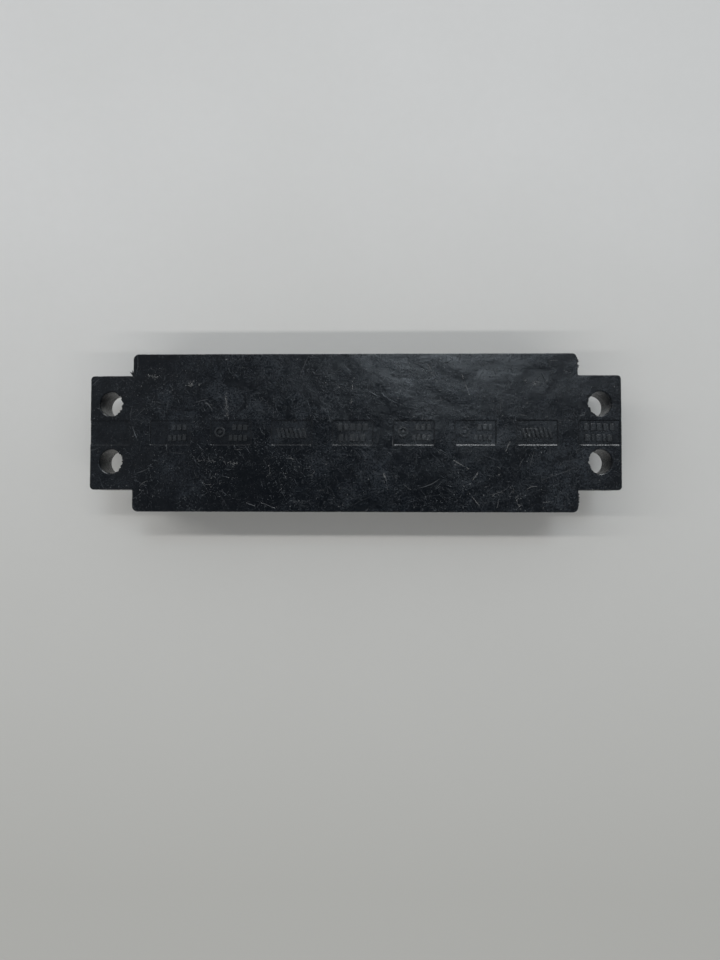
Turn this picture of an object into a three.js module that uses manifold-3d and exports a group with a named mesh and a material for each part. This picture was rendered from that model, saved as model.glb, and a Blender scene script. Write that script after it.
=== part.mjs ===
// Seven-pole double-row barrier terminal block: a black phenolic moulding with two mounting ears, seven
// through terminal strips, and a screw with a captive square clamp washer at both ends of each strip.
// Everything is drawn as the block is mounted, mounting face down on z = 0 and screws up. The last lines
// turn the block over, so that the exported part lies on its barriers with its mounting face up.
import * as THREE from "three";
import { mergeVertices } from "three/addons/utils/BufferGeometryUtils.js";
import Module from "manifold-3d";

const wasm = await Module();
wasm.setup();

// Driving dimensions, in millimetres.
const INCH = 25.4;
const PITCH = (7 / 16) * INCH; // from pole to pole
const POLES = 7;
const HEIGHT = (5 / 8) * INCH; // mounting face to barrier tips
const BASE_THICKNESS = (9 / 32) * INCH; // the slab under the terminals
const EAR_THICKNESS = 6.6;
const BODY_LENGTH = 80.8;
const BODY_WIDTH = 28.8;
const BODY_CORNER = 1.0;
const EAR_SPAN = 96.4; // over both ears
const EAR_WIDTH = 20.8;
const EAR_CORNER = 0.8;

const BARRIER_ROOT = 2.6; // wall thickness where it leaves the slab
const BARRIER_TIP = 2.0;
const BARRIER_TIP_ROUND = 0.6;
const BARRIER_ROOT_LENGTH = 28.0;
const BARRIER_TIP_LENGTH = 27.4;
const BARRIER_END_ROUND = 1.6;
const SHOULDER_TOP = 10.2; // the small blocks that fill the strips' waists
const SHOULDER_LENGTH = 5.0;

const ROW_SPACING = (5 / 8) * INCH; // between the two screws of a pole
const HOLE_SPAN_X = 88.6; // mounting hole centres, along and across the block
const HOLE_SPAN_Y = 10.5;
const HOLE_RADIUS = 2.2;
const POCKET_RADIUS = 2.6; // blind pocket below each screw
const POCKET_FLOOR = 1.6;

const LABEL_LENGTH = 7.3; // the moulded panels on the mounting face, one to a pitch
const LABEL_WIDTH = 4.4;
const LABEL_DEPTH = 0.3;
const LABEL_OFFSET = -0.2;

const STRIP_LENGTH = 26.6;
const STRIP_WIDTH = 7.9;
const STRIP_THICKNESS = 0.9;
const STRIP_CORNER = 0.6;
const WAIST_WIDTH = 4.6;
const WAIST_LENGTH = SHOULDER_LENGTH + 0.5; // with 0.25 to spare at both ends of the shoulders
const COLLAR_RADIUS = 2.3; // the drawn collar that carries the thread
const COLLAR_DEPTH = 2.0;
const THREAD_HOLE_RADIUS = 1.82;

const WASHER_SIDE = 7.4;
const WASHER_THICKNESS = 0.8;
const WASHER_HOLE_RADIUS = 1.95;
const WASHER_CORNER = 0.7;

const HEAD_RADIUS = 3.4;
const HEAD_HEIGHT = 1.9;
const HEAD_RIM = 0.7; // straight side of the head, below its dome
const DOME_BEND_RADIUS = 2.8; // where the dome turns from steep to shallow
const DOME_BEND_DROP = 0.35; // and how far that is below its crown
const DOME_FLAT_RADIUS = 1.5;
const SHANK_RADIUS = 1.7; // over the thread crests
const SHANK_LENGTH = INCH / 4;
const SHANK_CHAMFER = 0.5;
const SLOT_WIDTH = 1.1;
const SLOT_DEPTH = 1.0;

const SEAT_GAP = 0.05; // between stacked metal pieces
const WAIST_GAP = 0.25; // between a strip's waist and the shoulders beside it
const ROUND_SEGMENTS = 16; // sides on every turned or drilled shape
const OVERRUN = 1; // how far a cutter runs past the face that it opens

const STRIP_Z = BASE_THICKNESS + SEAT_GAP;
const WASHER_Z = STRIP_Z + STRIP_THICKNESS + SEAT_GAP;
const HEAD_Z = WASHER_Z + WASHER_THICKNESS + SEAT_GAP;

const phenolic = new THREE.MeshStandardMaterial({ color: 0x202327, roughness: 0.5, metalness: 0 });
const nickelBrass = new THREE.MeshStandardMaterial({ color: 0xb9b2a0, roughness: 0.38, metalness: 1 });
const nickelSteel = new THREE.MeshStandardMaterial({ color: 0xb4b4b2, roughness: 0.32, metalness: 1 });

// The x of each pole, and the x of each barrier between and outside the poles.
const poleX = (pole) => (pole - (POLES - 1) / 2) * PITCH;
const barrierX = (barrier) => (barrier - POLES / 2) * PITCH;

// A closed three.js geometry as a manifold solid.
function solidOf(geometry) {
  const bare = geometry.index ? geometry.toNonIndexed() : geometry.clone();
  bare.deleteAttribute("normal");
  bare.deleteAttribute("uv");
  const merged = mergeVertices(bare, 1e-4);
  return new wasm.Manifold(
    new wasm.Mesh({
      numProp: 3,
      vertProperties: merged.attributes.position.array,
      triVerts: new Uint32Array(merged.index.array),
    }),
  );
}

// A manifold solid as a flat-shaded three.js geometry.
function geometryOf(solid) {
  const { vertProperties, triVerts } = solid.getMesh();
  const geometry = new THREE.BufferGeometry();
  geometry.setAttribute("position", new THREE.BufferAttribute(vertProperties, 3));
  geometry.setIndex(new THREE.BufferAttribute(triVerts, 1));
  const flat = geometry.toNonIndexed();
  flat.computeVertexNormals();
  return flat;
}

const joined = (solids) => solids.reduce((whole, next) => whole.add(next));

// A box from its x and y centres and sizes, and its lowest and highest z.
function box(x, y, lengthX, lengthY, low, high) {
  const geometry = new THREE.BoxGeometry(lengthX, lengthY, high - low);
  return solidOf(geometry.translate(x, y, (low + high) / 2));
}

function cylinder(x, y, radius, low, high) {
  const geometry = new THREE.CylinderGeometry(radius, radius, high - low, ROUND_SEGMENTS);
  return solidOf(geometry.rotateX(Math.PI / 2).translate(x, y, (low + high) / 2));
}

// A flat outline pushed up from one height to another.
function plate(outline, low, high) {
  const geometry = new THREE.ExtrudeGeometry(outline, {
    depth: high - low,
    bevelEnabled: false,
    curveSegments: 4,
  });
  return solidOf(geometry.translate(0, 0, low));
}

function roundedRectangle(length, width, corner) {
  const [x, y] = [length / 2, width / 2];
  const outline = new THREE.Shape();
  outline.absarc(x - corner, y - corner, corner, 0, Math.PI / 2);
  outline.absarc(-x + corner, y - corner, corner, Math.PI / 2, Math.PI);
  outline.absarc(-x + corner, -y + corner, corner, Math.PI, 1.5 * Math.PI);
  outline.absarc(x - corner, -y + corner, corner, 1.5 * Math.PI, 2 * Math.PI);
  return outline;
}

// The end view of a drafted wall: two widths, and a rounded top.
function draftedOutline(rootWidth, tipWidth, top, round) {
  const outline = new THREE.Shape();
  outline.moveTo(-rootWidth / 2, 0);
  outline.lineTo(rootWidth / 2, 0);
  outline.lineTo(tipWidth / 2, top - round);
  outline.quadraticCurveTo(tipWidth / 2, top, tipWidth / 2 - round, top);
  outline.lineTo(-tipWidth / 2 + round, top);
  outline.quadraticCurveTo(-tipWidth / 2, top, -tipWidth / 2, top - round);
  return outline;
}

// Turns an upright outline's extrusion so that it runs along y, or along x, centred on the origin.
function wallAlongY(outline, length) {
  const geometry = new THREE.ExtrudeGeometry(outline, {
    depth: length,
    bevelEnabled: false,
    curveSegments: 3,
  });
  return geometry.rotateX(Math.PI / 2).translate(0, length / 2, 0);
}

function wallAlongX(outline, length) {
  const geometry = new THREE.ExtrudeGeometry(outline, {
    depth: length,
    bevelEnabled: false,
    curveSegments: 3,
  });
  const turn = new THREE.Matrix4().set(0, 0, 1, -length / 2, 1, 0, 0, 0, 0, 1, 0, 0, 0, 0, 0, 1);
  return geometry.applyMatrix4(turn);
}

// One barrier: thick at the slab and thin at the tip, with both ends leaning in a little.
function barrier(x) {
  const foot = BASE_THICKNESS - OVERRUN;
  const rise = HEIGHT - foot;
  const across = draftedOutline(BARRIER_ROOT, BARRIER_TIP, rise, BARRIER_TIP_ROUND);
  const along = draftedOutline(BARRIER_ROOT_LENGTH, BARRIER_TIP_LENGTH, rise, BARRIER_END_ROUND);
  const thin = solidOf(wallAlongY(across, 2 * BODY_WIDTH));
  const long = solidOf(wallAlongX(along, PITCH));
  return thin.intersect(long).translate([x, 0, foot]);
}

// The block that runs through a barrier and fills the waists of the strips on both sides of it.
function shoulder(x) {
  const foot = BASE_THICKNESS - OVERRUN;
  const reach = PITCH - WAIST_WIDTH - 2 * WAIST_GAP;
  const outline = draftedOutline(reach, reach, SHOULDER_TOP - foot, BARRIER_TIP_ROUND);
  return solidOf(wallAlongY(outline, SHOULDER_LENGTH)).translate([x, 0, foot]);
}

// The slab with its ears, and everything that stands on it, before anything is cut away.
function housingBlank() {
  const body = plate(roundedRectangle(BODY_LENGTH, BODY_WIDTH, BODY_CORNER), 0, BASE_THICKNESS);
  const ears = plate(roundedRectangle(EAR_SPAN, EAR_WIDTH, EAR_CORNER), 0, EAR_THICKNESS);
  const barriers = [];
  const shoulders = [];
  for (let i = 0; i <= POLES; i++) {
    barriers.push(barrier(barrierX(i)));
    shoulders.push(shoulder(barrierX(i)));
  }
  const betweenEnds = box(0, 0, POLES * PITCH, BODY_WIDTH, 0, HEIGHT);
  return joined([body, ears, ...barriers]).add(joined(shoulders).intersect(betweenEnds));
}

function mountingHoles() {
  const holes = [];
  for (const x of [-HOLE_SPAN_X / 2, HOLE_SPAN_X / 2]) {
    for (const y of [-HOLE_SPAN_Y / 2, HOLE_SPAN_Y / 2]) {
      holes.push(cylinder(x, y, HOLE_RADIUS, -OVERRUN, BASE_THICKNESS + OVERRUN));
    }
  }
  return joined(holes);
}

function screwPockets() {
  const pockets = [];
  for (let pole = 0; pole < POLES; pole++) {
    for (const y of [-ROW_SPACING / 2, ROW_SPACING / 2]) {
      pockets.push(cylinder(poleX(pole), y, POCKET_RADIUS, POCKET_FLOOR, BASE_THICKNESS + OVERRUN));
    }
  }
  return joined(pockets);
}

// Shallow marking panels, one to a pitch, running on over both ears.
function labelPanels() {
  const panels = [];
  for (let pole = -1; pole <= POLES; pole++) {
    const x = poleX(pole) + LABEL_OFFSET;
    panels.push(box(x, 0, LABEL_LENGTH, LABEL_WIDTH, -OVERRUN, LABEL_DEPTH));
  }
  return joined(panels);
}

function housing() {
  return housingBlank().subtract(mountingHoles()).subtract(screwPockets()).subtract(labelPanels());
}

// A flat strip, narrow at the middle, with a drawn collar under each screw.
function terminalStrip() {
  const top = STRIP_Z + STRIP_THICKNESS;
  const blank = plate(roundedRectangle(STRIP_WIDTH, STRIP_LENGTH, STRIP_CORNER), STRIP_Z, top);
  const notchWidth = STRIP_WIDTH - WAIST_WIDTH;
  const notch = (side) =>
    box((side * STRIP_WIDTH) / 2, 0, notchWidth, WAIST_LENGTH, STRIP_Z - OVERRUN, top + OVERRUN);
  const collars = [];
  const holes = [];
  for (const y of [-ROW_SPACING / 2, ROW_SPACING / 2]) {
    collars.push(cylinder(0, y, COLLAR_RADIUS, STRIP_Z - COLLAR_DEPTH, top - STRIP_THICKNESS / 2));
    holes.push(cylinder(0, y, THREAD_HOLE_RADIUS, STRIP_Z - COLLAR_DEPTH - OVERRUN, top + OVERRUN));
  }
  const waisted = blank.subtract(notch(-1)).subtract(notch(1));
  return waisted.add(joined(collars)).subtract(joined(holes));
}

function clampWasher() {
  const top = WASHER_Z + WASHER_THICKNESS;
  const square = plate(roundedRectangle(WASHER_SIDE, WASHER_SIDE, WASHER_CORNER), WASHER_Z, top);
  return square.subtract(cylinder(0, 0, WASHER_HOLE_RADIUS, WASHER_Z - OVERRUN, top + OVERRUN));
}

// A slotted binding-head screw, its shank drawn plain at the size of the thread's crests.
function terminalScrew() {
  const tip = HEAD_Z - SHANK_LENGTH;
  const crown = HEAD_Z + HEAD_HEIGHT;
  const profile = [
    [0, tip],
    [SHANK_RADIUS - SHANK_CHAMFER, tip],
    [SHANK_RADIUS, tip + SHANK_CHAMFER],
    [SHANK_RADIUS, HEAD_Z],
    [HEAD_RADIUS, HEAD_Z],
    [HEAD_RADIUS, HEAD_Z + HEAD_RIM],
    [DOME_BEND_RADIUS, crown - DOME_BEND_DROP],
    [DOME_FLAT_RADIUS, crown],
    [0, crown],
  ].map(([r, z]) => new THREE.Vector2(r, z));
  const turned = solidOf(new THREE.LatheGeometry(profile, ROUND_SEGMENTS).rotateX(Math.PI / 2));
  return turned.subtract(box(0, 0, 3 * HEAD_RADIUS, SLOT_WIDTH, crown - SLOT_DEPTH, crown + OVERRUN));
}

const block = new THREE.Group();

function addPiece(name, geometry, material, x = 0, y = 0) {
  const mesh = new THREE.Mesh(geometry, material);
  mesh.name = name;
  mesh.position.set(x, y, 0);
  block.add(mesh);
}

addPiece("housing", geometryOf(housing()), phenolic);

const stripGeometry = geometryOf(terminalStrip());
const washerGeometry = geometryOf(clampWasher());
const screwGeometry = geometryOf(terminalScrew());
for (let pole = 0; pole < POLES; pole++) {
  const number = pole + 1;
  addPiece(`terminal_strip_${number}`, stripGeometry, nickelBrass, poleX(pole));
  for (const [row, y] of [
    ["a", -ROW_SPACING / 2],
    ["b", ROW_SPACING / 2],
  ]) {
    addPiece(`clamp_washer_${number}${row}`, washerGeometry, nickelSteel, poleX(pole), y);
    addPiece(`terminal_screw_${number}${row}`, screwGeometry, nickelSteel, poleX(pole), y);
  }
}

// Turned over about x: the mounting face comes to the top and the barrier tips to z = 0.
block.rotation.x = Math.PI;
block.position.z = HEIGHT;

export default block;
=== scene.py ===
"""A black phenolic barrier terminal block, lying on its barriers with its mounting face up.

Every piece is drawn in millimetres as the block is mounted, mounting face down on z = 0, and then turned over
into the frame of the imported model.
"""

import math
import random

import bmesh
import bpy
from mathutils import Euler, Matrix, Vector, noise


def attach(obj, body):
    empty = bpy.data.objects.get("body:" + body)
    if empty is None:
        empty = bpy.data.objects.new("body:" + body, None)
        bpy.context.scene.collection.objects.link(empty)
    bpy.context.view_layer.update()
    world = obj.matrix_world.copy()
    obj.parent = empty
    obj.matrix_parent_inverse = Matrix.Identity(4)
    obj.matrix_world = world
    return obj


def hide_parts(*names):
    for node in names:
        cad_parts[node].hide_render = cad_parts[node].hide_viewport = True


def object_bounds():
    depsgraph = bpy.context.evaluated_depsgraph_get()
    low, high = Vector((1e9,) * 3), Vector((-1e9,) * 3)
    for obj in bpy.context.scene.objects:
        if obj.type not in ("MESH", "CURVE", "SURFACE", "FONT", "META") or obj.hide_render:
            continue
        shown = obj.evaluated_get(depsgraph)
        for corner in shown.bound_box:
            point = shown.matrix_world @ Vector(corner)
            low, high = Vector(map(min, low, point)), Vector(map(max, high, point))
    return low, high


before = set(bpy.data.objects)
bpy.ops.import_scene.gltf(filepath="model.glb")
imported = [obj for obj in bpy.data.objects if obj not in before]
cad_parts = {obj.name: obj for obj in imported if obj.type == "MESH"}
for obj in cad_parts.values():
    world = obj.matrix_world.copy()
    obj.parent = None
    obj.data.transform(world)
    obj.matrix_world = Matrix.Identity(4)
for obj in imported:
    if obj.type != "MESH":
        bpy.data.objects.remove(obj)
cad_low, cad_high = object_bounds()

MM = 0.001
HEIGHT = cad_high.z / MM
POLES = 7
PITCH = 11.1125  # 7/16 inch
ROW_Y = 7.9375  # half of 5/8 inch

BODY = (80.8, 28.8)
BODY_CORNER = 1.0
EARS = (96.4, 20.8)
EAR_CORNER = 0.7
BASE_TOP = 7.14375  # 9/32 inch
EAR_TOP = 6.6
HOLES = [(x, y) for x in (-44.3, 44.3) for y in (-5.25, 5.25)]
HOLE_RADIUS = 2.2
# the broken rim and the bore of a mounting hole: how much wider than the bore, and the depth
HOLE_WALLS = [(0.42, -0.3), (0.22, -0.02), (0.08, 0.06), (0.02, 0.18), (0, 0.35)]
HOLE_WALLS += [(0, EAR_TOP - 0.4), (0.06, EAR_TOP - 0.2), (0.3, EAR_TOP + 0.15)]
POCKET_RADIUS = 2.6
POCKET_FLOOR = 1.6
PANEL = (7.3, 4.4)
PANEL_DEPTH = 0.3
PANEL_OFFSET = -0.2
# the drafted walls of a panel, from outside its face to its floor: how far in from its plan, and the depth
PANEL_WALLS = [(-0.25, -0.1), (0.01, 0.105), (0.03, PANEL_DEPTH)]

# the drafted barriers: width and length at the foot, what both lose by the tip, and the rounding of the tip
BARRIER_FOOT = (2.6, 28.0)
BARRIER_DRAFT = 0.6
BARRIER_FOOT_Z = BASE_TOP - 1.0
TIP_ROUND = 0.6
END_ROUND = 1.6
ROOT_FILLET = 0.25
BURIED_Z = 5.9  # where the barriers and shoulders start, inside the slab
SHOULDER_TOP = 10.2
SHOULDER_LENGTH = 5.0

SEAT_GAP = 0.05
STRIP = (7.9, 26.6)
STRIP_THICKNESS = 0.9
WAIST = (4.6, 5.5)
WAIST_GAP = 0.25
COLLAR_RADIUS = 2.3
COLLAR_END = 5.19  # their lower ends, inside the pockets
COLLAR_ROOT = 7.22  # just inside the strip
THREAD_HOLE = 1.82
WASHER_SIDE = 7.4
WASHER_THICKNESS = 0.8
WASHER_HOLE = 1.95
HEAD_RADIUS = 3.4
HEAD_HEIGHT = 1.9
SLOT_DEPTH = 1.0
SHANK_LENGTH = 6.35
CREST_RADIUS = 1.7
THREAD_DEPTH = 0.42
THREAD_PITCH = 0.79375  # 32 turns to the inch

STRIP_Z = BASE_TOP + SEAT_GAP
WASHER_Z = STRIP_Z + STRIP_THICKNESS + SEAT_GAP
HEAD_Z = WASHER_Z + WASHER_THICKNESS + SEAT_GAP

# fine scratches and gouges: cell, length, width and bend of each sort in millimetres, and a seed
FINE_HAIRS = [
    (1.6, 1.2, 0.055, 0.10, 1),
    (0.90, 0.62, 0.055, 0.22, 2),
    (2.6, 1.8, 0.055, 0.06, 3),
    (0.62, 0.42, 0.055, 0.25, 5),
    (0.46, 0.30, 0.055, 0.30, 6),
]
GOUGES = [(5.5, 2.6, 0.10, 0.06, 8), (9.0, 5.0, 0.07, 0.03, 12)]

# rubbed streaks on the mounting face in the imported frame: both ends, width and number of crumbs
SCUFFS = [
    (-23.5, 7.4, -22.9, 2.6, 0.35, 90),
    (-0.2, 9.4, -0.5, 5.2, 0.28, 60),
    (13.4, 12.4, 15.3, 8.8, 0.22, 50),
    (22.4, -7.3, 20.9, -9.4, 0.10, 60),
    (18.0, -5.0, 20.8, -6.6, 0.05, 70),
    (19.6, -9.4, 22.7, -13.3, 0.05, 60),
    (19.6, 10.5, 21.4, 5.5, 0.05, 50),
    (28.2, -1.6, 27.4, -3.4, 0.12, 40),
    (-28.6, -4.9, -21.2, -5.7, 0.55, 70),
    (28.4, -9.8, 29.9, -13.4, 0.4, 60),
    (-30.4, 8.9, -28.0, 8.6, 0.5, 40),
    (-38.2, 10.5, -35.8, 10.2, 0.35, 34),
    (30.5, 9.6, 33.8, 8.9, 0.7, 44),
    (5.4, -7.0, 6.2, -10.6, 0.3, 26),
]

# torn fins in each mounting hole: first and last angle in radians from its inner side, depth and reach
HOLE_FINS = [(-1.25, 1.25, 0.10, 0.42), (-0.9, 1.1, 0.42, 0.3), (-1.3, 0.7, 0.22, 0.25)]
# torn fins on the body's ends beside the ears: from y, to y, which end, and reach
CORNER_FINS = [(-13.7, -10.4, 1, 0.42), (10.4, 13.4, 1, 0.36), (-11.5, -10.6, -1, 0.15)]

# how strongly the room glows: straight overhead and 28 degrees off it, then on the near and the far side
ROOM_OVERHEAD = (0.018, 0.26)
ROOM_SIDES = (0.9, 1.9)

# the photograph's view: place in millimetres over the middle of the mounting face, and tilt in degrees
CAMERA_PLACE = (4.095, -12.727, 130.31)
CAMERA_TILT = (1.816, 1.294, 0.105)
LENS = 27.0375

# from the mounted position, in millimetres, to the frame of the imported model, in metres
TURN_OVER = Matrix.Scale(MM, 4) @ Matrix.Translation((0, 0, HEIGHT)) @ Matrix.Rotation(math.pi, 4, "X")


def pole_x(pole):
    return (pole - (POLES - 1) / 2) * PITCH


# ---------------------------------------------------------------- outlines


def rounded(corners, step=0.5, arc=7):
    """A closed anticlockwise outline with corners (x, y, radius) and points along its straight sides."""
    outline = []
    count = len(corners)
    for i, (x, y, radius) in enumerate(corners):
        here = Vector((x, y))
        before = (Vector(corners[i - 1][:2]) - here).normalized()
        after = (Vector(corners[(i + 1) % count][:2]) - here).normalized()
        half = before.angle(after) / 2
        reach = radius / math.tan(half)
        centre = here + (before + after).normalized() * (radius / math.sin(half))
        first, last = here + before * reach, here + after * reach
        if outline:
            outline += between(outline[-1], first, step)
        start = math.atan2(*(first - centre).yx)
        sweep = math.atan2(*(last - centre).yx) - start
        sweep = (sweep + math.pi) % (2 * math.pi) - math.pi
        for k in range(arc + 1):
            angle = start + sweep * k / arc
            outline.append(centre + radius * Vector((math.cos(angle), math.sin(angle))))
    return outline + between(outline[-1], outline[0], step)


def between(start, end, step):
    """The points strictly between two others, about a step apart."""
    parts = max(1, round((end - start).length / step))
    return [start.lerp(end, k / parts) for k in range(1, parts)]


def rectangle(length, width, radius, x=0.0, y=0.0, step=0.5, arc=7):
    a, b = length / 2, width / 2
    corners = [(x + a, y - b), (x + a, y + b), (x - a, y + b), (x - a, y - b)]
    return rounded([(*c, radius) for c in corners], step, arc)


def circle(radius, x=0.0, y=0.0, count=48):
    angles = [2 * math.pi * k / count for k in range(count)]
    return [Vector((x + radius * math.cos(t), y + radius * math.sin(t))) for t in angles]


def inset(outline, depth):
    """The outline moved inwards by a depth, or outwards if it is negative."""
    moved = []
    for i, p in enumerate(outline):
        along = outline[(i + 1) % len(outline)] - outline[i - 1]
        inward = Vector((-along.y, along.x)).normalized()
        moved.append(p + inward * depth)
    return moved


def rough(outline, amount, size, seed):
    """The outline with an uneven moulded edge: a slow wander and small nicks."""
    moved = []
    for i, p in enumerate(outline):
        along = outline[(i + 1) % len(outline)] - outline[i - 1]
        outward = Vector((along.y, -along.x)).normalized()
        slow = noise.noise(Vector((p.x / size, p.y / size, seed)))
        fine = noise.noise(Vector((p.x / 0.6, p.y / 0.6, seed + 9)))
        nick = max(0.0, noise.noise(Vector((p.x / 1.1, p.y / 1.1, seed + 31))) - 0.42)
        moved.append(p + outward * (amount * (slow + 0.5 * fine) - 6 * amount * nick))
    return moved


# ------------------------------------------------------------------ meshes


class Solid:
    """Vertices and faces in millimetres, gathered from several closed shapes."""

    def __init__(self):
        self.points, self.faces = [], []

    def stack(self, rings):
        """A closed shape lofted through rings of (outline, z), lowest first, all with as many points."""
        base, count = len(self.points), len(rings[0][0])
        assert all(len(outline) == count for outline, z in rings)
        for outline, z in rings:
            self.points += [(p.x, p.y, z) for p in outline]
        self.faces.append([base + i for i in reversed(range(count))])
        for k in range(len(rings) - 1):
            low, high = base + k * count, base + (k + 1) * count
            for i in range(count):
                j = (i + 1) % count
                self.faces.append([low + i, low + j, high + j, high + i])
        self.faces.append([base + (len(rings) - 1) * count + i for i in range(count)])
        return self

    def tube(self, path, radius, sides=5):
        """A thin round strand along a path, pinched at both ends."""
        base = len(self.points)
        last = len(path) - 1
        for k, p in enumerate(path):
            along = (path[min(k + 1, last)] - path[max(k - 1, 0)]).normalized()
            side = along.cross(Vector((0, 0, 1))).normalized()
            up = side.cross(along)
            width = radius * (0.25 if k in (0, last) else 1)
            for s in range(sides):
                angle = 2 * math.pi * s / sides
                self.points.append(tuple(p + width * (math.cos(angle) * side + math.sin(angle) * up)))
        self.faces.append([base + s for s in range(sides)])
        for k in range(last):
            for s in range(sides):
                a, b = base + k * sides + s, base + k * sides + (s + 1) % sides
                self.faces.append([a, a + sides, b + sides, b])
        self.faces.append([base + last * sides + s for s in reversed(range(sides))])
        return self

    def mesh(self, name, matrix=TURN_OVER):
        data = bpy.data.meshes.new(name)
        data.from_pydata([matrix @ Vector(p) for p in self.points], [], self.faces)
        work = bmesh.new()
        work.from_mesh(data)
        bmesh.ops.recalc_face_normals(work, faces=work.faces)
        work.to_mesh(data)
        work.free()
        return data


def domed(outline, low, high, foot=0.0, crown=0.0, steps=4):
    """Rings of an upright block, its lower edge rounded by foot and its upper edge by crown."""
    rings = []
    if foot:
        for k in range(steps):
            angle = 0.5 * math.pi * k / steps
            rings.append((inset(outline, foot * (1 - math.sin(angle))), low + foot * (1 - math.cos(angle))))
        rings.append((outline, low + foot))
    else:
        rings.append((outline, low))
    if crown:
        for k in range(steps + 1):
            angle = 0.5 * math.pi * k / steps
            drop = crown * (1 - math.sin(angle))
            rings.append((inset(outline, crown * (1 - math.cos(angle))), high - drop))
    else:
        rings.append((outline, high))
    return rings


def object_of(data, name):
    made = bpy.data.objects.new(name, data)
    bpy.context.scene.collection.objects.link(made)
    return made


def changed(target, cutter, operation="DIFFERENCE"):
    """The target after an exact boolean with the cutter, which is used up."""
    step = target.modifiers.new("cut", "BOOLEAN")
    step.object, step.operation, step.solver = cutter, operation, "EXACT"
    step.use_self = False
    graph = bpy.context.evaluated_depsgraph_get()
    graph.update()
    data = bpy.data.meshes.new_from_object(target.evaluated_get(graph))
    target.modifiers.clear()
    target.data = data
    bpy.data.objects.remove(cutter)
    return target


def shade(data, angle=32, broad=1.5):
    """Smooth across edges below an angle in degrees; level faces and those over so many mm2 stay flat."""
    work = bmesh.new()
    work.from_mesh(data)
    for face in work.faces:
        face.smooth = face.calc_area() < broad * MM * MM and abs(face.normal.z) < 0.9995
    for edge in work.edges:
        edge.smooth = edge.calc_face_angle(math.pi) < math.radians(angle)
    work.to_mesh(data)
    work.free()


def finish_piece(piece, material, body):
    piece.data.materials.clear()
    piece.data.materials.append(material)
    for face in piece.data.polygons:
        face.material_index = 0
    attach(piece, body)
    return piece


# --------------------------------------------------------------- materials


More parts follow.
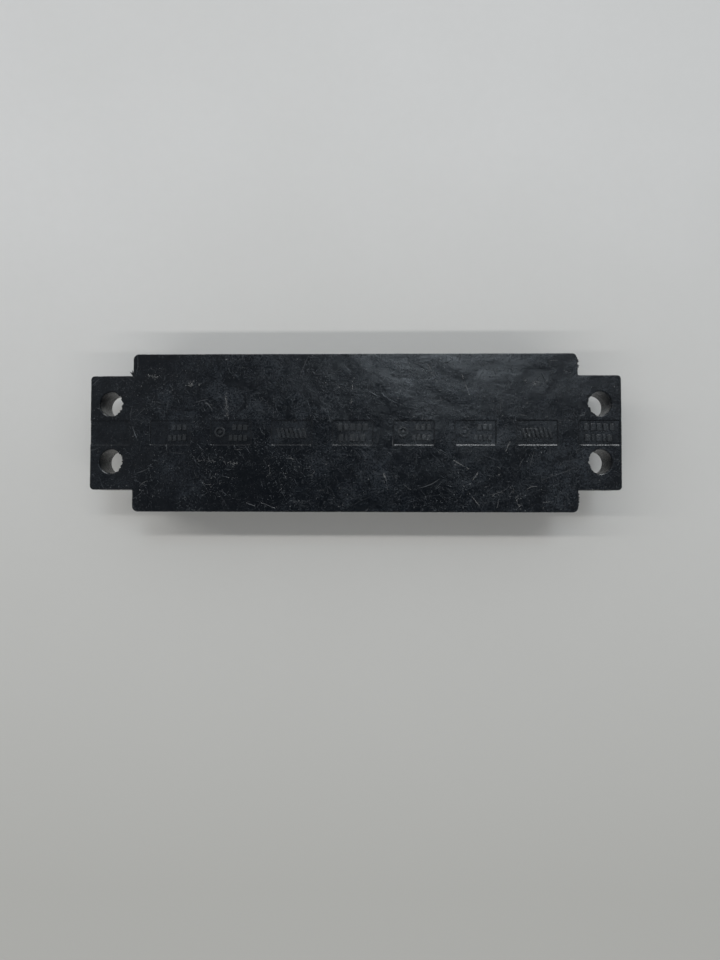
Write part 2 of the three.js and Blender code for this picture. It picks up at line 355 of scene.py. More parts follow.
class Nodes:
    """Short calls that build one material's node tree."""

    def __init__(self, name):
        self.material = bpy.data.materials.new(name)
        self.material.use_nodes = True
        self.tree = self.material.node_tree
        self.shader = self.tree.nodes["Principled BSDF"]
        self.coordinates = self.add("ShaderNodeTexCoord")
        self.place = self.coordinates.outputs["Object"]

    def add(self, kind, inputs=None, **settings):
        node = self.tree.nodes.new(kind)
        for key, value in settings.items():
            setattr(node, key, value)
        for key, value in (inputs or {}).items():
            self.feed(node.inputs[key], value)
        return node

    def feed(self, socket, value):
        if isinstance(value, bpy.types.NodeSocket):
            self.tree.links.new(value, socket)
        else:
            socket.default_value = value

    def math(self, operation, a, b=0.0, c=0.0, clamp=False):
        node = self.add("ShaderNodeMath", {0: a, 1: b, 2: c}, operation=operation, use_clamp=clamp)
        return node.outputs[0]

    def noise(self, scale, detail=3.0, rough=0.5, place=None, distortion=0.0):
        inputs = {"Vector": place or self.place, "Scale": scale, "Detail": detail, "Roughness": rough}
        node = self.add("ShaderNodeTexNoise", {**inputs, "Distortion": distortion})
        return node.outputs["Fac"]

    def ramp(self, value, low, high, out_low=0.0, out_high=1.0):
        inputs = {"Value": value, "From Min": low, "From Max": high, "To Min": out_low, "To Max": out_high}
        return self.add("ShaderNodeMapRange", inputs, clamp=True).outputs["Result"]

    def moved(self, scale=(1, 1, 1), turn=(0, 0, 0), shift=(0, 0, 0), place=None):
        inputs = {"Vector": place or self.place, "Scale": scale, "Rotation": turn, "Location": shift}
        return self.add("ShaderNodeMapping", inputs).outputs["Vector"]

    def mix(self, factor, a, b):
        node = self.add("ShaderNodeMix", data_type="RGBA")
        for socket, value in ((node.inputs[0], factor), (node.inputs[6], a), (node.inputs[7], b)):
            self.feed(socket, value)
        return node.outputs[2]

    def bump(self, height, distance, normal=None, strength=1.0):
        inputs = {"Height": height, "Distance": distance * MM, "Strength": strength}
        if normal is not None:
            inputs["Normal"] = normal
        return self.add("ShaderNodeBump", inputs).outputs["Normal"]

    def flat_place(self):
        """The two coordinates that lie in each face, in millimetres, for tops, ends and long sides."""
        facing = self.add("ShaderNodeSeparateXYZ", {"Vector": self.coordinates.outputs["Normal"]})
        on_end = self.math("GREATER_THAN", self.math("ABSOLUTE", facing.outputs["X"]), 0.6)
        on_top = self.math("GREATER_THAN", self.math("ABSOLUTE", facing.outputs["Z"]), 0.6)
        x, y, z = self.add("ShaderNodeSeparateXYZ", {"Vector": self.place}).outputs
        across = self.choose(self.math("SUBTRACT", on_end, on_top, clamp=True), x, y)
        up = self.choose(on_top, z, y)
        flat = self.add("ShaderNodeCombineXYZ", {"X": across, "Y": up, "Z": 0.0}).outputs["Vector"]
        return self.add("ShaderNodeVectorMath", {0: flat, "Scale": 1 / MM}, operation="SCALE").outputs[0]

    def near_holes(self, reach):
        """One inside this distance in millimetres of a mounting hole's axis, zero elsewhere."""
        x, y, _ = self.add("ShaderNodeSeparateXYZ", {"Vector": self.place}).outputs
        hole_x, hole_y = HOLES[-1]
        across = self.math("SUBTRACT", self.math("ABSOLUTE", x), hole_x * MM)
        up = self.math("SUBTRACT", self.math("ABSOLUTE", y), hole_y * MM)
        away = self.math("SQRT", self.math("MULTIPLY_ADD", across, across, self.math("MULTIPLY", up, up)))
        return self.math("LESS_THAN", away, reach * MM)

    def choose(self, factor, a, b):
        return self.add("ShaderNodeMix", {0: factor, 2: a, 3: b}, data_type="FLOAT").outputs[0]

    def strokes(self, flat, cell, length, width, bend, seed):
        """A short stroke in each cell of a loose grid, with a direction, length and strength of its own."""
        shifted = self.moved(shift=(seed * 13.7, seed * 7.3, 0), place=flat)
        cells = self.add(
            "ShaderNodeTexVoronoi",
            {"Vector": shifted, "Scale": 1 / cell, "Randomness": 1.0},
            voronoi_dimensions="2D",
        )
        centre = cells.outputs["Position"]
        local = self.add("ShaderNodeVectorMath", {0: shifted, 1: centre}, operation="SUBTRACT")
        luck = self.add("ShaderNodeSeparateColor", {"Color": cells.outputs["Color"]})
        red, green, blue = (luck.outputs[k] for k in ("Red", "Green", "Blue"))
        turned = self.add(
            "ShaderNodeVectorRotate",
            {"Vector": local.outputs[0], "Angle": self.math("MULTIPLY", red, math.tau)},
            rotation_type="Z_AXIS",
        )
        along, aside, _ = self.add("ShaderNodeSeparateXYZ", {"Vector": turned.outputs[0]}).outputs
        square = self.math("MULTIPLY", along, along)
        curve = self.math("MULTIPLY", square, self.math("MULTIPLY_ADD", blue, 2 * bend, -bend))
        off = self.math("ABSOLUTE", self.math("ADD", aside, curve))
        reach = self.math("MULTIPLY_ADD", green, 0.7 * length, 0.15 * length)
        end = self.math("DIVIDE", self.math("ABSOLUTE", along), reach)
        full = self.math("SUBTRACT", 1.0, self.math("MULTIPLY", end, end), clamp=True)
        thin = self.math("MAXIMUM", self.math("MULTIPLY", width, full), 0.002)
        line = self.math("SUBTRACT", 1.0, self.math("DIVIDE", off, thin), clamp=True)
        strength = self.math("POWER", self.math("FRACT", self.math("MULTIPLY", blue, 7.31)), 3.2)
        return self.math("MULTIPLY", line, strength)

    def hairs(self, flat, sorts):
        """Strokes of several sorts together, each given as cell, length, width, bend and seed."""
        total = self.strokes(flat, *sorts[0])
        for sort in sorts[1:]:
            total = self.math("MAXIMUM", total, self.strokes(flat, *sort))
        return total

    def specks(self, flat, cell, radius, seed):
        """Round specks of many sizes, most of them very small."""
        shifted = self.moved(shift=(seed * 5.1, seed * 3.9, 0), place=flat)
        cells = self.add(
            "ShaderNodeTexVoronoi",
            {"Vector": shifted, "Scale": 1 / cell, "Randomness": 1.0},
            voronoi_dimensions="2D",
        )
        luck = self.add("ShaderNodeSeparateColor", {"Color": cells.outputs["Color"]}).outputs["Red"]
        size = self.math("MULTIPLY", self.math("POWER", luck, 5.0), radius / cell)
        return self.math("LESS_THAN", cells.outputs["Distance"], size)

    def shine(self, **values):
        for key, value in values.items():
            self.feed(self.shader.inputs[key.replace("_", " ")], value)
        return self.material


def phenolic(name="black_phenolic", pale=0.0, rounding=0.12):
    """Satin black moulding: blue-grey haze, fine scratches every way, pale dust and faint mould grain; the
    mounting-hole bores turn pale toward their lower ends, partly pale dust and partly painted light.
    """
    n = Nodes(name)
    flat = n.flat_place()
    stir = n.add("ShaderNodeTexNoise", {"Vector": flat, "Scale": 0.35, "Detail": 2.0})
    push = n.add("ShaderNodeVectorMath", {0: stir.outputs["Color"], 1: (0.45, 0.45, 0)}, operation="MULTIPLY")
    wavy = n.add("ShaderNodeVectorMath", {0: flat, 1: push.outputs[0]}, operation="ADD").outputs[0]
    height = n.add("ShaderNodeSeparateXYZ", {"Vector": n.place}).outputs["Z"]
    rubbed = n.ramp(height, (HEIGHT - 0.25) * MM, (HEIGHT - 0.05) * MM, 0.35, 1.0)

    # the bores turn paler toward the ear's underside: partly pale dust, partly painted light from the bench
    # below
    dust_and_painted_light_ramp = n.ramp(height, (HEIGHT - 3.0) * MM, (HEIGHT - EAR_TOP) * MM)
    bore = n.math("MULTIPLY", n.near_holes(HOLE_RADIUS + 0.25), dust_and_painted_light_ramp)

    cloud = n.noise(0.075, 5.0, 0.62, flat, 0.6)
    stain = n.noise(0.22, 6.0, 0.7, n.moved(shift=(31, 7, 0), place=flat), 1.2)
    grain = n.noise(3.2, 4.0, 0.7, flat)
    fleck = n.noise(2.8, 4.0, 0.85, n.moved(shift=(12, 44, 0), place=flat), 0.4)
    fleck = n.ramp(fleck, 0.42, 0.58, 0.08, 1.0)
    haze = n.math("MULTIPLY", n.ramp(cloud, 0.43, 0.70), n.math("MULTIPLY", n.ramp(stain, 0.40, 0.66), fleck))

    crowd = n.ramp(n.noise(0.16, 4.0, 0.6, n.moved(shift=(3, 90, 0), place=flat)), 0.40, 0.68, 0.15, 1.0)
    lines = n.math("MULTIPLY", n.hairs(wavy, FINE_HAIRS), n.math("MULTIPLY", crowd, rubbed))
    gouge = n.math("MULTIPLY", n.hairs(wavy, GOUGES), rubbed)
    dust = n.math("MAXIMUM", n.specks(flat, 0.8, 0.075, 1), n.specks(flat, 2.6, 0.13, 2))
    dust = n.math("MULTIPLY", dust, n.math("MULTIPLY", crowd, rubbed))

    deep = n.mix(n.ramp(grain, 0.3, 0.7), (0.0015, 0.0024, 0.0040, 1), (0.0038, 0.0052, 0.0076, 1))
    deep = n.mix(pale, deep, (0.060, 0.064, 0.066, 1))
    # pale dust and painted light in the bores, strongest toward the ear's underside
    deep = n.mix(bore, deep, (0.20, 0.20, 0.195, 1))
    colour = n.mix(n.math("MULTIPLY", haze, 0.8), deep, (0.030, 0.038, 0.048, 1))
    colour = n.mix(n.math("MULTIPLY", lines, 0.6), colour, (0.12, 0.13, 0.14, 1))
    colour = n.mix(n.math("MULTIPLY", gouge, 0.5), colour, (0.13, 0.135, 0.14, 1))
    colour = n.mix(n.math("MULTIPLY", dust, 0.6), colour, (0.36, 0.36, 0.355, 1))

    rough_value = n.ramp(n.noise(0.5, 5.0, 0.65, flat), 0.3, 0.7, 0.10, 0.20)
    rough_value = n.math("MULTIPLY_ADD", haze, 0.26, rough_value)
    rough_value = n.math("MULTIPLY_ADD", lines, 0.12, rough_value)
    rough_value = n.math("MULTIPLY_ADD", n.math("MULTIPLY", fleck, rubbed), 0.11, rough_value)
    rough_value = n.math("MULTIPLY_ADD", n.math("SUBTRACT", 1.0, rubbed), 0.14, rough_value, clamp=True)

    edge = n.add("ShaderNodeBevel", {"Radius": rounding * MM}, samples=6).outputs["Normal"]
    skin = n.math("MULTIPLY_ADD", n.noise(9.0, 3.0, 0.6, flat), 0.3, grain)
    normal = n.bump(skin, 0.024, edge, 0.8)
    dents = n.noise(0.7, 3.0, 0.55, n.moved(scale=(1, 1.5, 1), turn=(0, 0, 0.5), place=flat))
    normal = n.bump(dents, 0.036, normal, 0.8)
    swell = n.noise(0.12, 2.0, 0.5, flat)
    normal = n.bump(swell, 0.5, normal, 0.5)
    cuts = n.math("MAXIMUM", lines, gouge)
    normal = n.bump(n.math("MULTIPLY", cuts, -1.0), 0.04, normal, 0.9)
    return n.shine(Base_Color=colour, Roughness=rough_value, Normal=normal, Specular_IOR_Level=0.5)


def metal(name, colour, tarnish, tone, brushed=(1, 1, 1)):
    """Nickel plate: fine drawing lines, a little tarnish and dull pits."""
    n = Nodes(name)
    info = n.add("ShaderNodeObjectInfo").outputs["Location"]
    shifted = n.add("ShaderNodeVectorMath", {0: info, 1: (3.1, 5.7, 2.3)}, operation="MULTIPLY").outputs[0]
    whole = n.add("ShaderNodeVectorMath", {0: n.place, 1: shifted}, operation="ADD").outputs[0]
    place = n.moved(scale=(1 / MM,) * 3, place=whole)
    lines = n.noise(2.2, 4.0, 0.7, n.moved(scale=brushed, place=place))
    blotch = n.noise(0.35, 5.0, 0.65, place, 0.8)
    pits = n.noise(7.0, 2.0, 0.5, place)
    film = n.ramp(blotch, 0.42, 0.72)
    base = n.mix(n.ramp(lines, 0.3, 0.7), colour, [c * 1.25 for c in colour[:3]] + [1])
    base = n.mix(n.math("MULTIPLY", film, 0.55), base, tarnish)
    base = n.mix(n.ramp(pits, 0.66, 0.74), base, [c * 0.35 for c in colour[:3]] + [1])
    rough_value = n.ramp(lines, 0.25, 0.75, tone, tone + 0.14)
    rough_value = n.math("MULTIPLY_ADD", film, 0.18, rough_value, clamp=True)
    edge = n.add("ShaderNodeBevel", {"Radius": 0.06 * MM}, samples=6).outputs["Normal"]
    normal = n.bump(lines, 0.012, edge, 0.7)
    normal = n.bump(n.ramp(pits, 0.62, 0.76), -0.02, normal, 0.6)
    return n.shine(Base_Color=base, Roughness=rough_value, Normal=normal, Metallic=1.0)


def lint_material():
    n = Nodes("pale_lint")
    shade_of = n.noise(400.0, 3.0)
    colour = n.mix(n.ramp(shade_of, 0.35, 0.65), (0.10, 0.10, 0.10, 1), (0.30, 0.30, 0.295, 1))
    return n.shine(Base_Color=colour, Roughness=n.ramp(shade_of, 0.3, 0.7, 0.8, 1.0))


def bench_material():
    """A pale laminate bench with faint stains and fine mottling, and painted shade that darkens its near
    side.
    """
    n = Nodes("pale_bench")
    cloud = n.noise(9.0, 4.0, 0.6)
    mottle = n.noise(420.0, 3.0, 0.6)
    colour = n.mix(n.ramp(cloud, 0.35, 0.65), (0.69, 0.685, 0.67, 1), (0.73, 0.725, 0.715, 1))
    colour = n.mix(n.ramp(mottle, 0.2, 0.9, 0.0, 0.25), colour, (0.64, 0.635, 0.62, 1))
    depth = n.add("ShaderNodeSeparateXYZ", {"Vector": n.place}).outputs["Y"]
    # painted shade: the bench's colour turns darker and warmer toward the near side
    colour = n.mix(n.ramp(depth, 0.06, -0.09), colour, (0.505, 0.497, 0.468, 1))
    normal = n.bump(mottle, 0.03, None, 0.4)
    rough_value = n.ramp(cloud, 0.3, 0.7, 0.62, 0.72)
    return n.shine(Base_Color=colour, Roughness=rough_value, Normal=normal, Specular_IOR_Level=0.25)


black = phenolic()
rubbed_black = phenolic("rubbed_phenolic", 0.28, 0.04)
brass = metal("nickel_plated_brass", (0.50, 0.47, 0.40, 1), (0.30, 0.24, 0.15, 1), 0.26, (1, 9, 1))
steel = metal("nickel_plated_steel", (0.52, 0.52, 0.51, 1), (0.26, 0.25, 0.22, 1), 0.22, (1, 1, 6))
lint = lint_material()


# ------------------------------------------------------------- the moulding


def body_and_ears():
    """The plan of the slab with both ears as one outline."""
    body_x, body_y = BODY[0] / 2, BODY[1] / 2
    ear_x, ear_y = EARS[0] / 2, EARS[1] / 2
    inner = 0.25
    right = [(body_x, -body_y, BODY_CORNER), (body_x, -ear_y, inner), (ear_x, -ear_y, EAR_CORNER)]
    right += [(x, -y, r) for x, y, r in reversed(right)]
    left = [(-x, -y, r) for x, y, r in right]
    return rounded(right + left, step=0.4)


def slab():
    """The slab with its ears, drilled, pocketed under every screw and pressed with its panels."""
    plan = rough(body_and_ears(), 0.03, 9.0, 1)
    whole = object_of(Solid().stack(domed(plan, 0, EAR_TOP, foot=0.16)).mesh("moulding"), "moulding")
    under = inset(rectangle(*BODY, BODY_CORNER, step=0.8), 0.035)
    raised = object_of(Solid().stack(domed(under, 3.0, BASE_TOP, crown=0.25)).mesh("raised"), "raised")
    changed(whole, raised, "UNION")

    drilled = Solid()
    for x, y in HOLES:
        rings = []
        for grow, z in HOLE_WALLS:
            rings.append((rough(circle(HOLE_RADIUS + grow, x, y, 72), 0.25 * grow + 0.01, 1.0, 5), z))
        drilled.stack(rings)
    for pole in range(POLES):
        for y in (-ROW_Y, ROW_Y):
            pocket = circle(POCKET_RADIUS, pole_x(pole), y, 32)
            drilled.stack([(pocket, POCKET_FLOOR), (pocket, BASE_TOP + 1)])
    changed(whole, object_of(drilled.mesh("drilled"), "drilled"))

    pressed = Solid()
    for pole in range(-1, POLES + 1):
        x = pole_x(pole) + PANEL_OFFSET
        plan = rectangle(*PANEL, 0.2, x, 0.0, step=1.2, arc=4)
        pressed.stack([(inset(plan, grow), z) for grow, z in PANEL_WALLS])
    changed(whole, object_of(pressed.mesh("pressed"), "pressed"))
    shade(whole.data, 38)
    return finish_piece(whole, black, "block")


def fallen(radius, near):
    """How far a rounding of this radius has drawn a wall in, this near to its end."""
    if near >= radius:
        return 0.0
    return radius - math.sqrt(max(0.0, radius**2 - (radius - near) ** 2))


def barrier_rings():
    """Rings of one drafted wall with a small root fillet, rounded tip and rounded ends."""
    rings = []
    levels = [BURIED_Z, *(BASE_TOP + up for up in (0, 0.05, 0.12, ROOT_FILLET)), 9.0, 11.0, 13.0]
    degrees = (0, 15, 30, 42, 52, 61, 69, 76, 82, 87, 90)
    levels += [HEIGHT - END_ROUND * (1 - math.sin(math.radians(t))) for t in degrees]
    for z in levels:
        loss = BARRIER_DRAFT * (z - BARRIER_FOOT_Z) / (HEIGHT - BARRIER_FOOT_Z)
        flare = 0.18 * min(1.0, max(0.0, 1 - (z - BASE_TOP) / ROOT_FILLET)) ** 2
        width = BARRIER_FOOT[0] - loss - 2 * fallen(TIP_ROUND, HEIGHT - z)
        length = BARRIER_FOOT[1] - loss - 2 * fallen(END_ROUND, HEIGHT - z)
        rings.append((rectangle(width + 2 * flare, length + 2 * flare, 0.32, step=length / 14, arc=5), z))
    return rings


def barriers():
    """The eight walls between the poles, each with the shoulders that hold the strips at their waists."""
    rings = barrier_rings()
    reach = PITCH / 2 - WAIST[0] / 2 - WAIST_GAP
    for i in range(POLES + 1):
        x = (i - POLES / 2) * PITCH
        wall = Solid()
        wander = [(rough(outline, 0.012, 4.0, 3 + i), z) for outline, z in rings]
        wall.stack([([p + Vector((x, 0)) for p in outline], z) for outline, z in wander])
        half = reach if 0 < i < POLES else reach / 2
        middle = x + (reach / 2 if i == 0 else -reach / 2 if i == POLES else 0.0)
        block = rectangle(2 * half, SHOULDER_LENGTH, 0.6, middle, 0.0, step=1.5, arc=5)
        wall.stack(domed(block, BURIED_Z, SHOULDER_TOP, crown=0.5))
        piece = object_of(wall.mesh(f"barrier_{i + 1}"), f"barrier_{i + 1}")
        shade(piece.data, broad=15)
        finish_piece(piece, black, "block")


def panel_marks():
    """Plain raised bars, slanted bars and rings in the moulded panels: generic marks that spell nothing."""
    luck = random.Random(4)
    marks = Solid()

    def raised(outline):
        marks.stack(domed(outline, luck.uniform(0.03, 0.08), PANEL_DEPTH + 0.05, foot=0.06, steps=2))

    def bars(x, y, widths, height, gap=0.26, slant=0.0):
        for width in widths:
            middle = y + luck.uniform(-0.04, 0.04)
            plan = rectangle(width, height, 0.1, x + width / 2, middle, step=0.6, arc=3)
            raised([Vector((p.x + slant * (p.y - y), p.y)) for p in plan])
            x += width + gap

    def ring(x, y):
        outer, inner, rounding, foot = 0.98, 0.66, 0.06, PANEL_DEPTH + 0.05
        profile = [(outer, 0.07), (outer - rounding, 0.04), (inner + rounding, 0.04), (inner, 0.07)]
        ring_rows(marks, profile + [(inner, foot), (outer, foot)], 20, x, y)
        raised(rectangle(0.55, 0.55, 0.08, x, y, step=0.6, arc=3))

    layouts = ["", "rows", "ring", "line", "pair", "ring", "ring", "line", "pair"]
    for i, layout in enumerate(layouts):
        x = pole_x(i - 1) + PANEL_OFFSET
        if layout in ("rows", "ring"):
            bars(x + 0.25, -0.95, (0.75, 0.75, 0.75), 1.05)
            bars(x - 0.35, 0.95, (0.62, 0.62, 0.62, 0.62), 1.05)
        if layout == "ring":
            ring(x - 2.0, -0.1)
        if layout == "line":
            bars(x - 2.6, 0.1, (0.48,) * 7, 1.75, 0.30, slant=0.28)
        if layout == "pair":
            bars(x - 2.75, -0.98, (0.85, 0.85, 0.85, 0.85, 0.85), 1.25, 0.30)
            bars(x - 2.55, 0.98, (0.85, 0.4, 0.85, 0.4, 0.85), 1.25, 0.36)
    piece = object_of(marks.mesh("panel_marks"), "panel_marks")
    shade(piece.data, 60)
    finish_piece(piece, rubbed_black, "block")


def fin(solid, edge, outward, z, thick, reach, luck):
    """A torn fin of moulding flash along a run of edge points, with teeth of uneven length."""
    back = [p - d * 0.12 for p, d in zip(edge, outward)]
    front = []
    last = len(edge) - 1
    for k, (p, d) in enumerate(zip(edge, outward)):
        fade = max(0.0, math.sin(math.pi * k / last)) ** 0.5
        front.append(p + d * reach * fade * luck.choice((0.15, 0.3, 0.55, 0.8, 1.0)) * luck.uniform(0.6, 1.0))
    outline = front + list(reversed(back))
    solid.stack([(outline, z), (outline, z + thick)])


def flash():
    """Torn flash at the rims of the mounting holes, and slivers at the corners between body and ears."""
    luck = random.Random(11)
    torn = Solid()
    for x, y in HOLES:
        inner = 0.0 if x < 0 else math.pi
        for low, high, z, reach in HOLE_FINS:
            angles = [inner + low + (high - low) * k / 26 for k in range(27)]
            if x > 0:
                angles.reverse()
            edge = [Vector((x + HOLE_RADIUS * math.cos(t), y + HOLE_RADIUS * math.sin(t))) for t in angles]
            inward = [-Vector((math.cos(t), math.sin(t))) for t in angles]
            fin(torn, edge, inward, z, 0.1, reach, luck)
    for y0, y1, side, reach in CORNER_FINS:
        edge = [Vector((side * BODY[0] / 2, y0 + (y1 - y0) * k / 24)) for k in range(25)]
        fin(torn, edge, [Vector((side, 0))] * 25, 0.28, 0.09, reach, luck)
    for tip in ((-41.15, -11.25), (-40.75, -11.55)):
        spike = [Vector(p) for p in ((-40.2, -10.1), (-40.2, -10.8), tip, (-40.55, -10.4))]
        torn.stack([(spike, 0.3), (spike, 0.38)])
    piece = object_of(torn.mesh("moulding_flash"), "moulding_flash")
    finish_piece(piece, black, "block")


def scuffs(solid, luck):
    """Pale rubbed streaks on the mounting face, each a drift of tiny crumbs along a line."""
    for x0, y0, x1, y1, width, count in SCUFFS:
        along = Vector((x1 - x0, y0 - y1))
        aside = Vector((-along.y, along.x)).normalized()
        for _ in range(count):
            share = luck.random()
            bunch = 0.5 + 0.5 * noise.noise(Vector((share * along.length * 1.4, x0, y0)))
            if bunch < 0.45:
                continue
            spot = Vector((x0, -y0)) + along * share + aside * luck.gauss(0, width / 2.5)
            heading = along.angle_signed(Vector((1, 0))) + luck.gauss(0, 0.5)
            reach, half = luck.uniform(0.05, 0.22), luck.uniform(0.012, 0.03)
            step = Vector((math.cos(heading), math.sin(heading)))
            side = Vector((-step.y, step.x)) * half
            plan = [spot - step * reach, spot - side, spot + step * reach, spot + side]
            if (plan[1] - plan[0]).cross(plan[2] - plan[1]) < 0:
                plan.reverse()
            solid.stack([(plan, -0.006), (plan, 0.01)])


def on_plain_face(x, y):
    """Whether a spot lies on the body's mounting face, inside its edge and off the row of panels."""
    on_body = abs(x) < BODY[0] / 2 - 0.4 and abs(y) < BODY[1] / 2 - 0.4
    return on_body and abs(y) > PANEL[1] / 2 + 0.3


def fibres(solid, luck, count=22):
    """Short curled fibres, more of them on the side that the photograph shows lowest."""
    made = 0
    while made < count:
        x, y = luck.uniform(-40, 40), luck.choice((luck.uniform(-14, 14), luck.uniform(2, 14)))
        heading, bend = luck.uniform(0, math.tau), luck.uniform(-0.55, 0.55)
        length = luck.uniform(0.8, 2.6) * (1.6 if luck.random() < 0.15 else 1)
        path = []
        for k in range(11):
            path.append(Vector((x, y, -0.018)))
            heading += bend * length / 10 + luck.uniform(-0.12, 0.12)
            x, y = x + math.cos(heading) * length / 10, y + math.sin(heading) * length / 10
        if all(on_plain_face(p.x, p.y) for p in path):
            solid.tube(path, luck.uniform(0.012, 0.020), 4)
            made += 1


def specks(solid, luck, count=130):
    """Pale five-sided crumbs, most of them very small, crowded on the same side."""
    made = 0
    while made < count:
        x, y = luck.uniform(-40, 40), luck.choice((luck.uniform(-14, 14), luck.uniform(4, 14)))
        if on_plain_face(x, y):
            size = 0.016 + 0.04 * luck.random() ** 4
            plan = []
            for t in (0.3, 1.5, 2.7, 4.0, 5.2):
                out, up = size * luck.uniform(0.6, 1.3), size * luck.uniform(0.6, 1.3)
                plan.append(Vector((x + out * math.cos(t), y + up * math.sin(t))))
            solid.stack([(inset(plan, size * 0.4), -0.5 * size), (plan, 0.01)])
            made += 1


def lint_and_dust():
    """Fibres, crumbs and rubbed streaks as one pale piece on the mounting face."""
    luck = random.Random(23)
    fluff = Solid()
    fibres(fluff, luck)
    specks(fluff, luck)
    scuffs(fluff, luck)
    piece = object_of(fluff.mesh("lint"), "lint")
    finish_piece(piece, lint, "block")


# ---------------------------------------------------------------- the metal


def revolve(solid, profile, count=48):
    """A closed turned shape: (radius, z) points from the middle of its underside to the middle of its top."""
    solid.stack([(circle(max(r, 1e-4), count=count), z) for r, z in profile])
    return solid


def joined(name, *meshes):
    """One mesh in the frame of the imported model, from several closed shapes in the mounted position."""
    work = bmesh.new()
    for data in meshes:
        work.from_mesh(data)
    whole = bpy.data.meshes.new(name)
    work.to_mesh(whole)
    work.free()
    whole.transform(TURN_OVER)
    return whole


def strip_mesh():
    """A plate with a narrow waist and two drawn collars, its lower edges rounded by the punch."""
    side, end = STRIP[0] / 2, STRIP[1] / 2
    waist, notch = WAIST[0] / 2, WAIST[1] / 2
    corner, nick = 0.6, 0.3
    right = [(side, -end, corner), (side, -notch, nick), (waist, -notch, nick)]
    right += [(x, -y, r) for x, y, r in reversed(right)]
    plan = rounded(right + [(-x, -y, r) for x, y, r in right], step=1.0, arc=5)
    rings = domed(plan, STRIP_Z, STRIP_Z + STRIP_THICKNESS, foot=0.2, crown=0.06, steps=3)
    plate = object_of(Solid().stack(rings).mesh("plate", Matrix()), "plate")
    bored = Solid()
    for y in (-ROW_Y, ROW_Y):
        bore = [(THREAD_HOLE, 6.5), (THREAD_HOLE, 7.9), (2.05, 9.5)]
        bored.stack([(circle(r, 0, y, 32), z) for r, z in bore])
    changed(plate, object_of(bored.mesh("bored", Matrix()), "bored"))
    r, low, high = COLLAR_RADIUS, COLLAR_END, COLLAR_ROOT
    profile = [(THREAD_HOLE, low + 0.06), (THREAD_HOLE + 0.08, low), (r - 0.08, low), (r, low + 0.11)]
    profile += [(r, high - 0.42), (r + 0.06, high - 0.22), (r + 0.3, high), (THREAD_HOLE, high)]
    collars = Solid()
    for y in (-ROW_Y, ROW_Y):
        ring_rows(collars, profile, 32, 0.0, y)
    data = joined("terminal_strip", plate.data, collars.mesh("collars", Matrix()))
    bpy.data.objects.remove(plate)
    return data


def ring_rows(solid, profile, count, x=0.0, y=0.0):
    """A turned shape with a hole through it: a closed (radius, z) profile swept round an upright axis."""
    base, rows = len(solid.points), len(profile)
    for k in range(count):
        angle = 2 * math.pi * k / count
        for r, z in profile:
            solid.points.append((x + r * math.cos(angle), y + r * math.sin(angle), z))
    for k in range(count):
        here, there = base + k * rows, base + (k + 1) % count * rows
        for i in range(rows):
            j = (i + 1) % rows
            solid.faces.append([here + i, here + j, there + j, there + i])


def washer_mesh():
    """A stamped square clamp: edges rolled over on the head's side, gripping ribs on the strip's side."""
    top = WASHER_Z + WASHER_THICKNESS
    plan = rectangle(WASHER_SIDE, WASHER_SIDE, 0.7, step=0.6, arc=6)
    rings = domed(plan, WASHER_Z + 0.07, top, foot=0.05, crown=0.24, steps=4)
    square = object_of(Solid().stack(rings).mesh("square", Matrix()), "square")
    bore = [(2.0, WASHER_Z - 0.5), (WASHER_HOLE, WASHER_Z + 0.3), (WASHER_HOLE, top - 0.15), (2.2, top + 0.1)]
    bored = revolve(Solid(), bore, 40)
    changed(square, object_of(bored.mesh("bored", Matrix()), "bored"))
    ribs = Solid()
    for x in (-3.1, -2.6, 2.6, 3.1):
        plan = rectangle(0.24, 6.0, 0.1, x, 0.0, step=2.0, arc=3)
        ribs.stack(domed(plan, WASHER_Z + 0.005, WASHER_Z + 0.2, foot=0.05, steps=2))
    data = joined("clamp_washer", square.data, ribs.mesh("ribs", Matrix()))
    bpy.data.objects.remove(square)
    return data


def thread_rings(levels=72, count=32):
    """Rings of a rolled thread, deepest first: a helix that fades under the head and tapers at the point."""
    root = CREST_RADIUS - THREAD_DEPTH
    rows = []
    for k in range(levels + 1):
        depth = SHANK_LENGTH * k / levels
        start = min(1.0, max(0.0, (depth - 0.45) / 0.5))
        taper = min(1.0, max(0.0, (SHANK_LENGTH - depth) / 0.55))
        ring = []
        for i in range(count):
            angle = 2 * math.pi * i / count
            turn = (depth / THREAD_PITCH - i / count) % 1.0
            crest = CREST_RADIUS - THREAD_DEPTH * abs(2 * turn - 1) ** 0.8
            radius = (root + 0.2 + (crest - root - 0.2) * start) * (0.72 + 0.28 * taper)
            ring.append(Vector((radius * math.cos(angle), radius * math.sin(angle))))
        rows.append((ring, HEAD_Z + 0.1 - depth * (SHANK_LENGTH + 0.1) / SHANK_LENGTH))
    return rows[::-1]


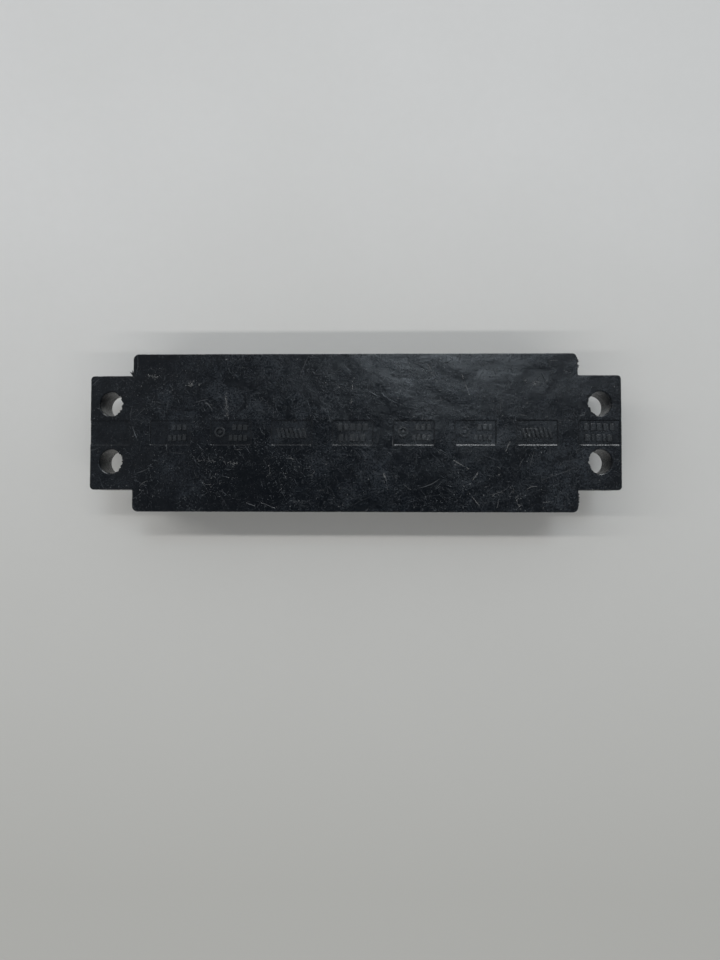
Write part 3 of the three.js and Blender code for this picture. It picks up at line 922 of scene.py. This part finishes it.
def screw_mesh():
    """A slotted binding-head screw with a rolled thread."""
    crown = HEAD_Z + HEAD_HEIGHT
    rim, rim_top, dome = 3.27, 0.84, HEAD_HEIGHT - 0.84
    profile = [(1.3, 0.3), (1.35, 0.02), (2.9, 0.02), (3.0, 0), (3.32, 0), (HEAD_RADIUS, 0.08)]
    profile += [(HEAD_RADIUS, 0.55), (3.37, 0.68), (rim, rim_top)]
    for k in range(1, 9):
        angle = k * math.pi / 16
        profile.append((rim * math.cos(angle) ** 0.8, rim_top + dome * math.sin(angle)))
    head = revolve(Solid(), [(r, HEAD_Z + z) for r, z in profile], 64)
    turned = object_of(head.mesh("head", Matrix()), "head")
    slot = Solid()
    floor = crown - SLOT_DEPTH
    rings = [(1.0, floor), (1.1, floor + 0.08), (1.1, crown - 0.12), (1.34, crown + 0.06), (1.5, crown + 0.8)]
    slot.stack([(rectangle(9.0, width, 0.02, step=3.0, arc=2), z) for width, z in rings])
    changed(turned, object_of(slot.mesh("slot", Matrix()), "slot"))
    shank = Solid().stack(thread_rings())
    data = joined("terminal_screw", turned.data, shank.mesh("shank", Matrix()))
    bpy.data.objects.remove(turned)
    return data


def placed(data, name, node, body, x, y, material, turn=0.0):
    """One piece from shared mesh data, turned about its own upright axis."""
    piece = object_of(data, name)
    piece.location = (x * MM, y * MM, 0)
    piece.rotation_euler = (0, 0, turn)
    finish_piece(piece, material, body)
    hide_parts(node)


def metalwork():
    """A strip to each pole, and a washer and a screw over each of its collars."""
    luck = random.Random(7)
    strip, washer, screw = strip_mesh(), washer_mesh(), screw_mesh()
    for data in (strip, washer, screw):
        shade(data)
    for pole in range(POLES):
        x = pole_x(pole)
        placed(strip, f"strip_{pole + 1}", f"terminal_strip_{pole + 1}", "block", x, 0, brass)
        for row, y in (("a", ROW_Y), ("b", -ROW_Y)):
            key = f"{pole + 1}{row}"
            turn = luck.uniform(-0.02, 0.02)
            placed(washer, f"washer_{key}", f"clamp_washer_{key}", f"clamp_{key}", x, y, steel, turn)
            turn = luck.uniform(0, math.pi)
            placed(screw, f"screw_{key}", f"terminal_screw_{key}", f"screw_{key}", x, y, steel, turn)


# ------------------------------------------------------- bench, light, view


def bench():
    """A level top at z = 0, far larger than the view."""
    data = bpy.data.meshes.new("bench")
    size = 6.0
    corners = [(-size, -size, 0), (size, -size, 0), (size, size, 0), (-size, size, 0)]
    data.from_pydata(corners, [], [(0, 1, 2, 3)])
    floor = object_of(data, "bench")
    data.materials.append(bench_material())


def area_light(name, place, size, power, colour, glossy=True, diffuse=True):
    """A rectangular lamp, long side along X, that faces the block."""
    lamp = bpy.data.lights.new(name, "AREA")
    lamp.shape, lamp.size, lamp.size_y = "RECTANGLE", *size
    lamp.energy, lamp.color = power, colour
    made = bpy.data.objects.new(name, lamp)
    made.location = place
    back = Vector((0, place[1], place[2])).normalized()
    along = Vector((1, 0, 0))
    made.rotation_euler = Matrix((along, back.cross(along), back)).transposed().to_euler()
    made.visible_glossy, made.visible_diffuse = glossy, diffuse
    bpy.context.scene.collection.objects.link(made)


def room():
    """Soft fill that is dim straight overhead and brighter low down, most of all on the far side."""
    world = bpy.data.worlds.new("room")
    world.use_nodes = True
    nodes, links = world.node_tree.nodes, world.node_tree.links
    apart = nodes.new("ShaderNodeSeparateXYZ")
    links.new(nodes.new("ShaderNodeTexCoord").outputs["Generated"], apart.inputs[0])
    level = None
    for axis, bounds in (("Z", (0.99, 0.88, *ROOM_OVERHEAD)), ("Y", (-0.6, 0.8, *ROOM_SIDES))):
        ramp = nodes.new("ShaderNodeMapRange")
        ramp.interpolation_type = "SMOOTHSTEP"
        links.new(apart.outputs[axis], ramp.inputs["Value"])
        for socket, value in zip(("From Min", "From Max", "To Min", "To Max"), bounds):
            ramp.inputs[socket].default_value = value
        if level is None:
            level = ramp.outputs[0]
        else:
            product = nodes.new("ShaderNodeMath")
            product.operation = "MULTIPLY"
            links.new(level, product.inputs[0])
            links.new(ramp.outputs[0], product.inputs[1])
            level = product.outputs[0]
    background = nodes["Background"]
    background.inputs["Color"].default_value = (0.90, 0.95, 1.0, 1)
    links.new(level, background.inputs["Strength"])
    bpy.context.scene.world = world


def lights():
    """Two ceiling tubes, a cool panel and a far window: places and sizes in metres, power in watts."""
    warm = (1.0, 0.985, 0.965)
    area_light("tube_front", (-0.24, 0.172, 0.60), (1.0, 0.024), 1.67, warm, glossy=False)
    area_light("tube_back", (0.04, -0.278, 0.60), (0.90, 0.024), 1.16, warm, glossy=False)
    area_light("panel", (0.105, 0.290, 0.80), (0.18, 0.17), 0.76, (0.80, 0.91, 1.0))
    area_light("window", (0.30, 1.4, 0.30), (0.40, 0.6), 10.0, (0.95, 0.98, 1.0), diffuse=False)


def camera():
    """The photograph's view, nearly straight down."""
    data = bpy.data.cameras.new("camera")
    data.sensor_width, data.lens = 36.0, LENS
    data.clip_start, data.clip_end = 0.005, 20
    made = bpy.data.objects.new("camera", data)
    x, y, above = CAMERA_PLACE
    made.location = Vector((x, y, above + HEIGHT)) * MM
    made.rotation_euler = Euler([math.radians(t) for t in CAMERA_TILT], "XYZ")
    bpy.context.scene.collection.objects.link(made)
    bpy.context.scene.camera = made


camera()
bench()
room()
lights()
moulding = slab()
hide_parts("housing")
barriers()
panel_marks()
flash()
lint_and_dust()
metalwork()
bpy.context.scene.view_settings.view_transform = "Standard"
